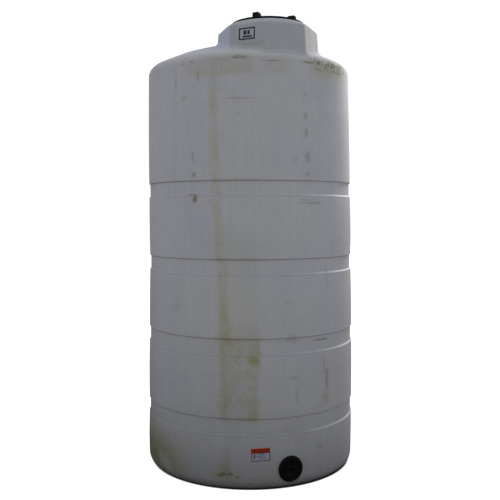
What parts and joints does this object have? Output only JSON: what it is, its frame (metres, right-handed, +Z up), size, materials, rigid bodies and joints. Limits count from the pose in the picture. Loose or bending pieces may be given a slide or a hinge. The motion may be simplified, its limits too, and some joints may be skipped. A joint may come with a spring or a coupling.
{
  "type": "vertical storage tank",
  "caption": "Upright cylindrical polyethylene liquid tank with recessed bands, a low domed roof, an offset octagonal manway turret, a black screw lid and a low flanged outlet.",
  "frame": {"origin": "centre of the flat bottom, on the ground", "axes": "+Z up along the tank's axis; the front, with the outlet fitting a little to the right, faces -Y; +X is to the right seen from the front"},
  "size_m": [1.2232, 1.225, 2.5902],
  "materials": {
    "shell": "translucent white polyethylene, weathered and stained",
    "lid": "black moulded polypropylene, satin",
    "fitting": "black moulded polypropylene, satin",
    "seal": "matt black rubber"
  },
  "bodies": {
    "tank": {"bottom_pan": "shell", "wall_course_1": "shell", "recessed_band_1": "shell", "wall_course_2": "shell", "recessed_band_2": "shell", "wall_course_3": "shell", "recessed_band_3": "shell", "wall_course_4": "shell", "recessed_band_4": "shell", "wall_course_5": "shell", "roof_dome": "shell", "turret_wall": "shell", "turret_top": "shell", "manway_ring": "lid", "outlet_seal": "seal", "outlet_body": "fitting", "outlet_nut": "fitting", "outlet_plug": "fitting"},
    "lid": {"lid_seal": "seal", "lid_disc": "lid", "lid_lug_1": "lid", "lid_lug_2": "lid", "lid_lug_3": "lid", "lid_lug_4": "lid", "lid_vent": "lid"}
  },
  "joints": [
    {"name": "lid_lift", "type": "slide", "parent": "tank", "child": "lid", "axis": [0, 0, 1], "range_m": [0, 0.25]}
  ]
}
